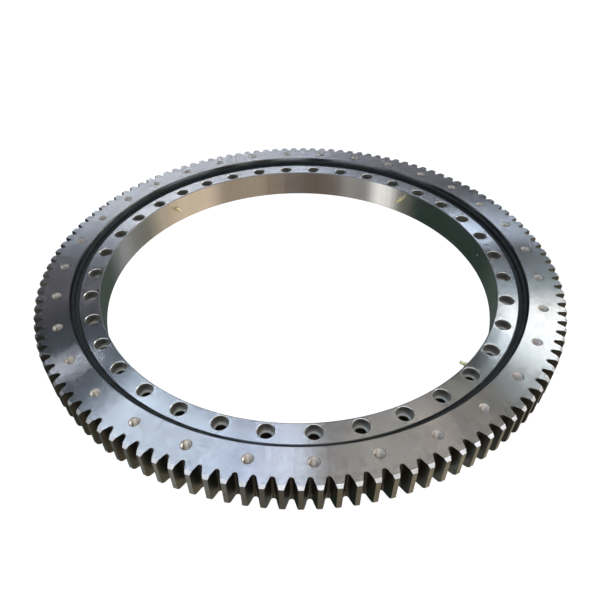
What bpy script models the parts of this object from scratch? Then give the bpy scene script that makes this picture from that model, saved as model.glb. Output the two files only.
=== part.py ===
"""Slewing ring bearing: one row of balls, external gear, both rings drilled for bolts.

The axis is +Z. The origin lies on the axis, in the inner ring's bottom face.
The inner ring stands still; the outer gear ring and the ball cage turn about +Z.
"""

import math

import bmesh
import bpy
from mathutils import Matrix, Vector

MM = 0.001

# Gear
MODULE = 8 * MM
TEETH = 122
PRESSURE_ANGLE = math.radians(20)
PROFILE_SHIFT = -0.1  # in modules
TIP_SHORTENING = 0.1  # in modules
BACKLASH = 0.3 * MM
TOP_CHAMFER = 4 * MM
BOTTOM_CHAMFER = 3 * MM
PITCH_R = MODULE * TEETH / 2
BASE_R = PITCH_R * math.cos(PRESSURE_ANGLE)
TIP_R = PITCH_R + MODULE * (1 + PROFILE_SHIFT - TIP_SHORTENING)
ROOT_R = PITCH_R + MODULE * (PROFILE_SHIFT - 1.25)
FIRST_TOOTH = math.radians(-1.49)

# Heights
INNER_TOP_Z = 60 * MM
OUTER_BOTTOM_Z = 19 * MM
OUTER_TOP_Z = 75 * MM
BALL_Z = 36 * MM
LAND_BOTTOM_Z = 23 * MM
LAND_TOP_Z = 55 * MM

# Ring walls
BORE_R = 381 * MM
EDGE_CHAMFER = 1 * MM
INNER_WALL_R = 418.3 * MM
OUTER_WALL_R = 431.2 * MM
LAND_HALF_GAP = 2 * MM

# Balls and cage
BALL_CIRCLE_R = 425 * MM
BALL_R = 10 * MM
BALL_COUNT = 46
RACEWAY_CLEARANCE = 0.35 * MM
RACEWAY_SIDES = 4
CAGE_HALF_THICKNESS = 1.2 * MM
CAGE_HALF_HEIGHT = 12.6 * MM
CAGE_POCKET_R = 11.25 * MM

# Bolt holes
INNER_HOLE_COUNT = 36
INNER_HOLE_CIRCLE_R = 397.5 * MM
INNER_HOLE_R = 8.75 * MM
COUNTERBORE_R = 13 * MM
COUNTERBORE_DEPTH = 17 * MM
OUTER_HOLE_COUNT = 32
OUTER_HOLE_CIRCLE_R = 455 * MM
OUTER_HOLE_R = 7 * MM
FIRST_OUTER_HOLE = math.radians(-0.666)

# Seals
SEAL_GAP = 0.4 * MM
SEAL_HEIGHT = 3.6 * MM
SEAL_LIP_HEIGHT = 1.2 * MM
SEAL_BODY_WIDTH = 6 * MM
UPPER_SEAL_TOP_Z = 68 * MM

# Filler plug and its pin
PLUG_ANGLE = math.radians(5)
PLUG_R = 11 * MM
PIN_TOP_R = 3.9 * MM
PIN_BOTTOM_R = 3.4 * MM
PIN_HOLE_R = 4.2 * MM
PIN_RECESS = 2 * MM
PIN_BOTTOM_Z = 18 * MM
FIT_GAP = 0.3 * MM

# Grease nipples
NIPPLE_ANGLES = (math.radians(-45), math.radians(45), math.radians(135))
NIPPLE_SHANK_R = 3.8 * MM
NIPPLE_SHANK_LENGTH = 7 * MM
NIPPLE_COLLAR_R = 5.2 * MM
NIPPLE_COLLAR_END = 6 * MM
NIPPLE_SEAT = 0.7 * MM
NIPPLE_NECK_R = 2.6 * MM
NIPPLE_NECK_END = 11 * MM
NIPPLE_HEAD_R = 3.25 * MM
NIPPLE_HEAD_START = 13 * MM
NIPPLE_HEAD_END = 16 * MM
NIPPLE_TIP_R = 1.4 * MM
NIPPLE_LENGTH = 18 * MM
GREASE_CHANNEL_R = 2 * MM

# Facets
RING_STEPS = 72
CAGE_STEPS = 92
HOLE_SIDES = 10
SMALL_SIDES = 8
OVERSHOOT = 5 * MM  # how far a cutter runs past the faces it cuts


# ---------------------------------------------------------------- helpers

def clear_scene():
    for obj in list(bpy.data.objects):
        bpy.data.objects.remove(obj, do_unlink=True)


def material(name, color, roughness, metallic):
    """A Principled material of one colour."""
    mat = bpy.data.materials.new(name)
    mat.use_nodes = True
    shader = mat.node_tree.nodes["Principled BSDF"]
    shader.inputs["Base Color"].default_value = (*color, 1)
    shader.inputs["Roughness"].default_value = roughness
    shader.inputs["Metallic"].default_value = metallic
    mat.diffuse_color = (*color, 1)
    return mat


def add_object(name, bm, mat=None, smooth_angle=40):
    """Turns a bmesh into an object whose round faces are shaded smooth."""
    bmesh.ops.recalc_face_normals(bm, faces=bm.faces)
    mesh = bpy.data.meshes.new(name)
    bm.to_mesh(mesh)
    bm.free()
    mesh.shade_smooth()
    mesh.set_sharp_from_angle(angle=math.radians(smooth_angle))
    if mat:
        mesh.materials.append(mat)
    obj = bpy.data.objects.new(name, mesh)
    bpy.context.collection.objects.link(obj)
    return obj


def add_empty(name):
    empty = bpy.data.objects.new(name, None)
    bpy.context.collection.objects.link(empty)
    return empty


def spin_outline(outline, steps, first_angle=0.0):
    """A ring: a closed outline of (radius, z) points turned about +Z.

    Every turned corner lies on its own radius, so the flats between corners lie inside it.
    """
    bm = bmesh.new()
    turn = Matrix.Rotation(first_angle, 4, "Z")
    verts = [bm.verts.new(turn @ Matrix.Translation((r, 0, z)).translation) for r, z in outline]
    edges = [bm.edges.new((a, b)) for a, b in zip(verts, verts[1:] + verts[:1])]
    bmesh.ops.spin(
        bm, geom=verts + edges, cent=(0, 0, 0), axis=(0, 0, 1),
        angle=math.tau, steps=steps, use_merge=True,
    )
    return bm


def outward(outline, steps):
    """Moves an outline out until the flats between its turned corners touch its radii."""
    grow = 1 / math.cos(math.pi / steps)
    return [(r * grow, z) for r, z in outline]


def extrude_polygon(bm, corners, z_low, z_high):
    """Adds a closed prism over a polygon of (x, y) corners."""
    face = bm.faces.new([bm.verts.new((x, y, z_low)) for x, y in corners])
    top = bmesh.ops.extrude_face_region(bm, geom=[face])["geom"]
    verts = [item for item in top if isinstance(item, bmesh.types.BMVert)]
    bmesh.ops.translate(bm, verts=verts, vec=(0, 0, z_high - z_low))


def turned_solid(bm, outline, sides, place):
    """Adds a closed solid turned about its own Z: an outline of (radius, z) from end to end."""
    rings = []
    for r, z in outline:
        circle = bmesh.ops.create_circle(bm, cap_ends=False, segments=sides, radius=r)["verts"]
        bmesh.ops.translate(bm, verts=circle, vec=(0, 0, z))
        rings.append(circle)
    for low, high in zip(rings, rings[1:]):
        for i in range(sides):
            j = (i + 1) % sides
            bm.faces.new((low[i], low[j], high[j], high[i]))
    bm.faces.new(rings[0])
    bm.faces.new(rings[-1])
    bmesh.ops.transform(bm, matrix=place, verts=[v for ring in rings for v in ring])


def upright(radius, angle):
    """A frame on a circle about +Z, with its own Z up."""
    return Matrix.Rotation(angle, 4, "Z") @ Matrix.Translation((radius, 0, 0))


def inward(radius, angle, z):
    """A frame on a circle about +Z, with its own Z pointing at the axis."""
    place = Matrix.Rotation(angle, 4, "Z") @ Matrix.Translation((radius, 0, z))
    return place @ Matrix.Rotation(-math.pi / 2, 4, "Y")


def around(count, first=0.0):
    return [first + math.tau * i / count for i in range(count)]


def cut(obj, bm, name, operation="DIFFERENCE"):
    """Cuts an object with a hidden cutter made from a bmesh."""
    cutter = add_object(name, bm)
    cutter.hide_render = True
    cutter.display_type = "WIRE"
    modifier = obj.modifiers.new(name, "BOOLEAN")
    modifier.operation = operation
    modifier.solver = "EXACT"
    modifier.object = cutter


# ---------------------------------------------------------------- outlines

def raceway(side):
    """The groove's corners from bottom to top: side is +1 in the outer ring, -1 in the inner."""
    groove_r = BALL_R + RACEWAY_CLEARANCE
    edge = math.acos(LAND_HALF_GAP / groove_r)
    step = 2 * edge / RACEWAY_SIDES
    corner_r = groove_r / math.cos(step / 2)
    angles = [-edge + step * i for i in range(1, RACEWAY_SIDES)]
    corners = [
        (BALL_CIRCLE_R + side * corner_r * math.cos(a), BALL_Z + corner_r * math.sin(a))
        for a in angles
    ]
    edge_z = corner_r * math.sin(edge)
    land_r = BALL_CIRCLE_R + side * LAND_HALF_GAP
    return [(land_r, BALL_Z - edge_z), *corners, (land_r, BALL_Z + edge_z)]


def inner_outline():
    """The inner ring's section, starting at the bore's foot."""
    c = EDGE_CHAMFER
    land_r = BALL_CIRCLE_R - LAND_HALF_GAP
    return [
        (BORE_R + c, 0),
        (INNER_WALL_R - c, 0),
        (INNER_WALL_R, c),
        (INNER_WALL_R, LAND_BOTTOM_Z),
        (land_r, LAND_BOTTOM_Z),
        *raceway(-1),
        (land_r, LAND_TOP_Z),
        (INNER_WALL_R, LAND_TOP_Z),
        (INNER_WALL_R, INNER_TOP_Z - c),
        (INNER_WALL_R - c, INNER_TOP_Z),
        (BORE_R + c, INNER_TOP_Z),
        (BORE_R, INNER_TOP_Z - c),
        (BORE_R, c),
    ]


def outer_bore_outline():
    """The space inside the outer ring, as a ring that cuts it."""
    c = EDGE_CHAMFER
    land_r = BALL_CIRCLE_R + LAND_HALF_GAP
    low, high = OUTER_BOTTOM_Z - OVERSHOOT, OUTER_TOP_Z + OVERSHOOT
    return [
        (BORE_R, low),
        (OUTER_WALL_R + c, low),
        (OUTER_WALL_R + c, OUTER_BOTTOM_Z),
        (OUTER_WALL_R, OUTER_BOTTOM_Z + c),
        (OUTER_WALL_R, LAND_BOTTOM_Z),
        (land_r, LAND_BOTTOM_Z),
        *raceway(1),
        (land_r, LAND_TOP_Z),
        (OUTER_WALL_R, LAND_TOP_Z),
        (OUTER_WALL_R, OUTER_TOP_Z - c),
        (OUTER_WALL_R + c, OUTER_TOP_Z),
        (OUTER_WALL_R + c, high),
        (BORE_R, high),
    ]


def half_tooth_angle(radius):
    """Half of the angle that an involute tooth fills at a radius."""
    def involute(angle):
        return math.tan(angle) - angle

    at_pitch = (math.pi / 2 + 2 * PROFILE_SHIFT * math.tan(PRESSURE_ANGLE)) / TEETH
    at_pitch -= BACKLASH / 2 / PITCH_R
    return at_pitch + involute(PRESSURE_ANGLE) - involute(math.acos(BASE_R / radius))


def tooth_space():
    """One gap between teeth, about +X, run out past the tips along its own flanks."""
    half_pitch = math.pi / TEETH
    root, tip = (
        (r * math.cos(a), r * math.sin(a))
        for r, a in ((r, half_pitch - half_tooth_angle(r)) for r in (ROOT_R, TIP_R))
    )
    far = tuple(t + (t - f) / 2 for f, t in zip(root, tip))
    return [(root[0], -root[1]), (far[0], -far[1]), far, root]


# ---------------------------------------------------------------- rings

def plug_bar(radius):
    """A round bar along the filler plug's axis, from inside the bore to past the raceway."""
    bm = bmesh.new()
    ends = [(radius, BORE_R - BALL_CIRCLE_R), (radius, OVERSHOOT)]
    turned_solid(bm, ends, HOLE_SIDES, inward(BORE_R, PLUG_ANGLE, BALL_Z))
    return bm


def pin_hole():
    """The taper pin's hole, from the inner ring's top down through the plug."""
    bm = bmesh.new()
    ends = [(PIN_HOLE_R, PIN_BOTTOM_Z - FIT_GAP), (PIN_HOLE_R, INNER_TOP_Z + OVERSHOOT)]
    turned_solid(bm, ends, SMALL_SIDES, upright(INNER_HOLE_CIRCLE_R, PLUG_ANGLE))
    return bm


def make_inner_ring(steel):
    """The fixed ring, with its counterbored holes, plug and pin holes and nipple holes."""
    ring = add_object("inner_ring", spin_outline(inner_outline(), RING_STEPS), steel)

    bolts = bmesh.new()
    shoulder_z = INNER_TOP_Z - COUNTERBORE_DEPTH
    stepped = [
        (INNER_HOLE_R, -OVERSHOOT),
        (INNER_HOLE_R, shoulder_z),
        (COUNTERBORE_R, shoulder_z),
        (COUNTERBORE_R, INNER_TOP_Z + OVERSHOOT),
    ]
    for angle in around(INNER_HOLE_COUNT):
        turned_solid(bolts, stepped, HOLE_SIDES, upright(INNER_HOLE_CIRCLE_R, angle))
    cut(ring, bolts, "inner_bolt_cutter")

    cut(ring, plug_bar(PLUG_R + FIT_GAP), "plug_cutter")
    cut(ring, pin_hole(), "pin_cutter")

    nipples = bmesh.new()
    seat_r = NIPPLE_SHANK_R + FIT_GAP
    seat_depth = -NIPPLE_SHANK_LENGTH - FIT_GAP
    channel = [
        (GREASE_CHANNEL_R, BORE_R - BALL_CIRCLE_R),
        (GREASE_CHANNEL_R, seat_depth),
        (seat_r, seat_depth),
        (seat_r, OVERSHOOT),
    ]
    for angle in NIPPLE_ANGLES:
        turned_solid(nipples, channel, SMALL_SIDES, inward(BORE_R, angle, BALL_Z))
    cut(ring, nipples, "nipple_cutter")
    return ring


def make_outer_gear_ring(steel):
    """The turning ring: a chamfered blank, less its tooth spaces, bore and tapped holes."""
    blank = [
        (BALL_CIRCLE_R, OUTER_BOTTOM_Z),
        (TIP_R - BOTTOM_CHAMFER, OUTER_BOTTOM_Z),
        (TIP_R, OUTER_BOTTOM_Z + BOTTOM_CHAMFER),
        (TIP_R, OUTER_TOP_Z - TOP_CHAMFER),
        (TIP_R - TOP_CHAMFER, OUTER_TOP_Z),
        (BALL_CIRCLE_R, OUTER_TOP_Z),
    ]
    half_pitch = math.pi / TEETH
    ring = add_object("outer_gear_ring", spin_outline(blank, TEETH, FIRST_TOOTH + half_pitch), steel)

    spaces = bmesh.new()
    for angle in around(TEETH, FIRST_TOOTH + half_pitch):
        turn = Matrix.Rotation(angle, 2)
        corners = [turn @ Vector(corner) for corner in tooth_space()]
        extrude_polygon(spaces, corners, OUTER_BOTTOM_Z - OVERSHOOT, OUTER_TOP_Z + OVERSHOOT)
    cut(ring, spaces, "tooth_space_cutter")

    cut(ring, spin_outline(outward(outer_bore_outline(), RING_STEPS), RING_STEPS), "outer_bore_cutter")

    bolts = bmesh.new()
    through = [
        (OUTER_HOLE_R, OUTER_BOTTOM_Z - OVERSHOOT),
        (OUTER_HOLE_R, OUTER_TOP_Z + OVERSHOOT),
    ]
    for angle in around(OUTER_HOLE_COUNT, FIRST_OUTER_HOLE):
        turned_solid(bolts, through, HOLE_SIDES, upright(OUTER_HOLE_CIRCLE_R, angle))
    cut(ring, bolts, "outer_bolt_cutter")
    return ring


# ---------------------------------------------------------------- seals

def make_upper_seal(rubber):
    """Held by the outer ring, high up its wall; its lip reaches in to the inner ring."""
    foot = LAND_TOP_Z + SEAL_GAP
    lip_head = foot + SEAL_HEIGHT
    held_r = OUTER_WALL_R - SEAL_GAP
    lip_r = (INNER_WALL_R + SEAL_GAP) / math.cos(math.pi / RING_STEPS)
    outline = [
        (held_r, foot),
        (held_r, UPPER_SEAL_TOP_Z),
        (held_r - SEAL_BODY_WIDTH, UPPER_SEAL_TOP_Z),
        (held_r - SEAL_BODY_WIDTH, lip_head),
        (lip_r, lip_head - SEAL_LIP_HEIGHT),
        (lip_r, lip_head - 2 * SEAL_LIP_HEIGHT),
        (held_r - SEAL_BODY_WIDTH, foot),
    ]
    return add_object("upper_seal", spin_outline(outline, RING_STEPS), rubber)


def make_lower_seal(rubber):
    """Held by the inner ring; its lip reaches out to the outer ring."""
    head = LAND_BOTTOM_Z - SEAL_GAP
    foot = head - SEAL_HEIGHT + SEAL_GAP
    held_r = (INNER_WALL_R + SEAL_GAP) / math.cos(math.pi / RING_STEPS)
    lip_r = OUTER_WALL_R - SEAL_GAP
    outline = [
        (held_r, foot),
        (held_r + SEAL_BODY_WIDTH, foot),
        (lip_r, foot + SEAL_LIP_HEIGHT / 2),
        (lip_r, foot + 1.5 * SEAL_LIP_HEIGHT),
        (held_r + SEAL_BODY_WIDTH, head),
        (held_r, head),
    ]
    return add_object("lower_seal", spin_outline(outline, RING_STEPS), rubber)


# ---------------------------------------------------------------- filler plug, pin, nipples

def make_filler_plug(steel):
    """Closes the hole the balls go in by; its ends follow the bore and the raceway."""
    plug = add_object("filler_plug", plug_bar(PLUG_R), steel)
    cut(plug, spin_outline(inner_outline(), RING_STEPS), "plug_end_cutter", "INTERSECT")
    cut(plug, pin_hole(), "plug_pin_cutter")
    return plug


def make_filler_pin(steel):
    """The taper pin, driven down through the inner ring and the plug."""
    bm = bmesh.new()
    taper = [(PIN_BOTTOM_R, PIN_BOTTOM_Z), (PIN_TOP_R, INNER_TOP_Z - PIN_RECESS)]
    turned_solid(bm, taper, SMALL_SIDES, upright(INNER_HOLE_CIRCLE_R, PLUG_ANGLE))
    return add_object("filler_pin", bm, steel)


def make_grease_nipples(brass):
    """Straight nipples, screwed into the bore wall at the height of the balls."""
    outline = [
        (NIPPLE_SHANK_R, -NIPPLE_SHANK_LENGTH),
        (NIPPLE_SHANK_R, NIPPLE_SEAT),
        (NIPPLE_COLLAR_R, NIPPLE_SEAT),
        (NIPPLE_COLLAR_R, NIPPLE_COLLAR_END),
        (NIPPLE_NECK_R, NIPPLE_NECK_END),
        (NIPPLE_HEAD_R, NIPPLE_HEAD_START),
        (NIPPLE_HEAD_R, NIPPLE_HEAD_END),
        (NIPPLE_TIP_R, NIPPLE_LENGTH),
    ]
    for number, angle in enumerate(NIPPLE_ANGLES, start=1):
        bm = bmesh.new()
        turned_solid(bm, outline, SMALL_SIDES, Matrix())
        nipple = add_object(f"grease_nipple_{number}", bm, brass)
        nipple.matrix_world = inward(BORE_R, angle, BALL_Z)


# ---------------------------------------------------------------- balls and cage

def make_ball_cage(brass):
    """A thin band on the ball circle, with a pocket for each ball."""
    low, high = BALL_Z - CAGE_HALF_HEIGHT, BALL_Z + CAGE_HALF_HEIGHT
    inside_r = (BALL_CIRCLE_R - CAGE_HALF_THICKNESS) / math.cos(math.pi / CAGE_STEPS)
    outside_r = BALL_CIRCLE_R + CAGE_HALF_THICKNESS
    outline = [(inside_r, low), (outside_r, low), (outside_r, high), (inside_r, high)]
    band = spin_outline(outline, CAGE_STEPS, math.pi / CAGE_STEPS)
    cage = add_object("ball_cage", band, brass)

    pockets = bmesh.new()
    across = [(CAGE_POCKET_R, -OVERSHOOT), (CAGE_POCKET_R, OVERSHOOT)]
    level = Matrix.Rotation(math.pi / SMALL_SIDES, 4, "Z")
    for angle in around(BALL_COUNT):
        place = inward(BALL_CIRCLE_R, angle, BALL_Z) @ level
        turned_solid(pockets, across, SMALL_SIDES, place)
    cut(cage, pockets, "pocket_cutter")
    return cage


def make_balls(steel, parent):
    """One mesh, shared by every ball."""
    bm = bmesh.new()
    bmesh.ops.create_icosphere(bm, subdivisions=2, radius=BALL_R)
    first = add_object("ball_01", bm, steel)
    for number, angle in enumerate(around(BALL_COUNT), start=1):
        ball = first
        if number > 1:
            ball = bpy.data.objects.new(f"ball_{number:02d}", first.data)
            bpy.context.collection.objects.link(ball)
        ball.matrix_world = upright(BALL_CIRCLE_R, angle) @ Matrix.Translation((0, 0, BALL_Z))
        ball.parent = parent


def main():
    clear_scene()
    turned_steel = material("turned_steel", (0.52, 0.54, 0.57), 0.3, 1)
    ball_steel = material("ball_steel", (0.7, 0.7, 0.72), 0.15, 1)
    rubber = material("black_rubber", (0.03, 0.035, 0.04), 0.6, 0)
    brass = material("brass", (0.75, 0.62, 0.3), 0.3, 1)
    cage_brass = material("cage_brass", (0.7, 0.5, 0.25), 0.4, 1)

    make_inner_ring(turned_steel)
    make_lower_seal(rubber)
    make_filler_plug(turned_steel)
    make_filler_pin(ball_steel)
    make_grease_nipples(brass)

    gear_axis = add_empty("gear_axis")
    make_outer_gear_ring(turned_steel).parent = gear_axis
    make_upper_seal(rubber).parent = gear_axis

    cage_axis = add_empty("cage_axis")
    make_ball_cage(cage_brass).parent = cage_axis
    make_balls(ball_steel, cage_axis)


main()
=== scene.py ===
import math

import bmesh
import bpy
from mathutils import Matrix, Vector


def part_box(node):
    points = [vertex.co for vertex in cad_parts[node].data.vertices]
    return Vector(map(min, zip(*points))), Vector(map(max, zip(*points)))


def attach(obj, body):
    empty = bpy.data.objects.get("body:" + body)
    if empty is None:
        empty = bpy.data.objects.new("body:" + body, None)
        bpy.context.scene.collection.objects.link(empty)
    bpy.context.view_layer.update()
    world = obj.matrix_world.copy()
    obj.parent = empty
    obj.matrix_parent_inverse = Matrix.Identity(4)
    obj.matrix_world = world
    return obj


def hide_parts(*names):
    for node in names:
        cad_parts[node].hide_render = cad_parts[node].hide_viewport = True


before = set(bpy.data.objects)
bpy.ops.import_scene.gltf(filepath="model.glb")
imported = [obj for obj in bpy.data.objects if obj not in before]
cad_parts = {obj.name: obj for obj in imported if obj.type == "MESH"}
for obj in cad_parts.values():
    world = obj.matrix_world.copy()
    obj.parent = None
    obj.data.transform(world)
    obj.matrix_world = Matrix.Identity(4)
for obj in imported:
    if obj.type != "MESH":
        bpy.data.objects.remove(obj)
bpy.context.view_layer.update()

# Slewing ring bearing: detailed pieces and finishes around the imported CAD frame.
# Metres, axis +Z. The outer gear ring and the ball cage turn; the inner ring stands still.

MM = 0.001

# Heights and radii that the CAD boxes give
INNER_LOW, INNER_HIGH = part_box("inner_ring")
OUTER_LOW, OUTER_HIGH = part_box("outer_gear_ring")
BALL_LOW, BALL_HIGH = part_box("ball_01")
SEAL_LOW, SEAL_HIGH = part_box("upper_seal")
LOWER_SEAL_LOW, LOWER_SEAL_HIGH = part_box("lower_seal")
CAGE_LOW, CAGE_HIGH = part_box("ball_cage")
PIN_LOW, PIN_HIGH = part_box("filler_pin")

INNER_TOP_Z = INNER_HIGH.z
OUTER_BOTTOM_Z, OUTER_TOP_Z = OUTER_LOW.z, OUTER_HIGH.z
BALL_Z = (BALL_LOW.z + BALL_HIGH.z) / 2
TIP_R = min(OUTER_HIGH.x, OUTER_HIGH.y)

# Gear
TEETH = 122
MODULE = 8 * MM
PRESSURE_ANGLE = math.radians(20)
PROFILE_SHIFT = -0.1
BACKLASH = 0.3 * MM
PITCH_R = MODULE * TEETH / 2
BASE_R = PITCH_R * math.cos(PRESSURE_ANGLE)
ROOT_R = PITCH_R + MODULE * (PROFILE_SHIFT - 1.25)
FIRST_TOOTH = math.radians(-1.49)
TOP_BEVEL_WIDTH = 4.7 * MM
TOP_BEVEL_HEIGHT = 3.8 * MM
FOOT_BEVEL = 3 * MM

# Ring walls
BORE_R = 381 * MM
EDGE = 1 * MM
INNER_WALL_R = 418.3 * MM
OUTER_WALL_R = 431.2 * MM
LAND_BOTTOM_Z = 23 * MM
LAND_TOP_Z = 55 * MM
LAND_HALF_GAP = 2 * MM
SEAL_GROOVE_DEPTH = 1.6 * MM
SEAL_GROOVE_LOW_Z = 60 * MM
SEAL_GROOVE_HIGH_Z = 63.5 * MM

# Balls and cage
BALL_CIRCLE_R = 425 * MM
BALL_R = 10 * MM
BALL_COUNT = 92
GROOVE_R = 10.35 * MM
CAGE_POCKET_R = 11.25 * MM
CAGE_HALF_THICKNESS = 1.2 * MM

# Bolt holes
INNER_HOLE_COUNT = 36
INNER_HOLE_CIRCLE_R = 397.5 * MM
INNER_HOLE_R = 8.75 * MM
COUNTERBORE_R = 13 * MM
COUNTERBORE_DEPTH = 17 * MM
BORE_LIP = 1.8 * MM
OUTER_HOLE_COUNT = 32
OUTER_HOLE_CIRCLE_R = 455 * MM
FIRST_OUTER_HOLE = math.radians(-0.666)
THREAD_MAJOR_R = 8 * MM
THREAD_MINOR_R = 6.9 * MM
THREAD_PITCH = 2 * MM
THREAD_END = 1.2 * MM
TAPPED_MOUTH = 0.8 * MM
COUNTERBORE_RIM = 0.9 * MM

# Filler plug, pin and grease nipples
PLUG_ANGLE = math.radians(5)
PLUG_R = 11 * MM
PLUG_CLEARANCE = 0.15 * MM
PIN_HOLE_R = 4.2 * MM
NIPPLE_ANGLES = (math.radians(-45), math.radians(45), math.radians(135))
NIPPLE_SEAT_R = 4.1 * MM
NIPPLE_SEAT_DEPTH = 7.3 * MM
GREASE_CHANNEL_R = 2 * MM
SPOT_FACE_R = 6.4 * MM
SPOT_FACE_DEPTH = 0.6 * MM
FIT_GAP = 0.3 * MM

# Facets
GEAR_STEPS = 366
INNER_STEPS = 360
OVERSHOOT = 5 * MM


# ---------------------------------------------------------------- mesh helpers

def finish_mesh(name, bm, smooth_angle=32):
    """A mesh from a bmesh, shaded smooth across its shallow edges."""
    bmesh.ops.recalc_face_normals(bm, faces=bm.faces)
    mesh = bpy.data.meshes.new(name)
    bm.to_mesh(mesh)
    bm.free()
    mesh.shade_smooth()
    mesh.set_sharp_from_angle(angle=math.radians(smooth_angle))
    return mesh


def add_object(name, mesh, *materials):
    """A linked object with a mesh and its materials, in slot order."""
    for mat in materials:
        mesh.materials.append(mat)
    obj = bpy.data.objects.new(name, mesh)
    bpy.context.scene.collection.objects.link(obj)
    return obj


def spin_outline(bm, outline, steps, first_angle=0.0):
    """Adds a ring: a closed outline of (radius, z) points turned about +Z."""
    rings = []
    for i in range(steps):
        a = first_angle + math.tau * i / steps
        c, s = math.cos(a), math.sin(a)
        rings.append([bm.verts.new((r * c, r * s, z)) for r, z in outline])
    n = len(outline)
    for i in range(steps):
        here, there = rings[i], rings[(i + 1) % steps]
        for j in range(n):
            k = (j + 1) % n
            bm.faces.new((here[j], there[j], there[k], here[k]))
    return bm


def turned_solid(bm, outline, sides, place, turn=0.0):
    """Adds a closed solid turned about its own Z: an outline of (radius, z) from end to end."""
    rings = []
    for r, z in outline:
        circle = []
        for i in range(sides):
            a = turn + math.tau * i / sides
            circle.append(bm.verts.new(place @ Vector((r * math.cos(a), r * math.sin(a), z))))
        rings.append(circle)
    for low, high in zip(rings, rings[1:]):
        for i in range(sides):
            j = (i + 1) % sides
            bm.faces.new((low[i], low[j], high[j], high[i]))
    bm.faces.new(rings[0])
    bm.faces.new(rings[-1])


def prism(bm, corners, z_low, z_high):
    """Adds a closed upright prism over a polygon of (x, y) corners."""
    low = [bm.verts.new((x, y, z_low)) for x, y in corners]
    high = [bm.verts.new((x, y, z_high)) for x, y in corners]
    bm.faces.new(low)
    bm.faces.new(high)
    n = len(corners)
    for i in range(n):
        j = (i + 1) % n
        bm.faces.new((low[i], low[j], high[j], high[i]))


def upright(radius, angle):
    """A frame on a circle about +Z, with its own Z up."""
    return Matrix.Rotation(angle, 4, "Z") @ Matrix.Translation((radius, 0, 0))


def inward(radius, angle, z):
    """A frame on a circle about +Z, with its own Z pointing at the axis."""
    place = Matrix.Rotation(angle, 4, "Z") @ Matrix.Translation((radius, 0, z))
    return place @ Matrix.Rotation(-math.pi / 2, 4, "Y")


def around(count, first=0.0):
    """Evenly spread angles of a full turn."""
    return [first + math.tau * i / count for i in range(count)]


def carve(name, blank, cutters, operation="DIFFERENCE", smooth_angle=32):
    """The mesh left when each cutter bmesh has cut the blank bmesh."""
    tools = []
    body = bpy.data.objects.new(name, finish_mesh(name, blank))
    bpy.context.scene.collection.objects.link(body)
    for i, bm in enumerate(cutters):
        tool = bpy.data.objects.new(f"{name}_cutter_{i}", finish_mesh(f"{name}_cutter_{i}", bm))
        bpy.context.scene.collection.objects.link(tool)
        tools.append(tool)
        modifier = body.modifiers.new(tool.name, "BOOLEAN")
        modifier.operation = operation
        modifier.solver = "EXACT"
        modifier.object = tool
    bpy.context.view_layer.update()
    depsgraph = bpy.context.evaluated_depsgraph_get()
    mesh = bpy.data.meshes.new_from_object(body.evaluated_get(depsgraph))
    mesh.name = name
    for obj in [body, *tools]:
        bpy.data.objects.remove(obj, do_unlink=True)
    bm = bmesh.new()
    bm.from_mesh(mesh)
    bmesh.ops.dissolve_degenerate(bm, dist=1e-6, edges=bm.edges)
    bm.to_mesh(mesh)
    bm.free()
    mesh.shade_smooth()
    mesh.set_sharp_from_angle(angle=math.radians(smooth_angle))
    return mesh


def paint_faces(mesh, choose):
    """Gives each face the material slot that choose(centre, normal, radius) returns."""
    for face in mesh.polygons:
        c = face.center
        face.material_index = choose(c, face.normal, math.hypot(c.x, c.y))


def nearest_axis_distance(point, radius, count, first=0.0):
    """How far a point is, seen from above, from the nearest hole axis on a bolt circle."""
    step = math.tau / count
    a = math.atan2(point.y, point.x) - first
    a -= round(a / step) * step
    r = math.hypot(point.x, point.y)
    return math.hypot(r * math.cos(a) - radius, r * math.sin(a))


# ---------------------------------------------------------------- node helpers

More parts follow.
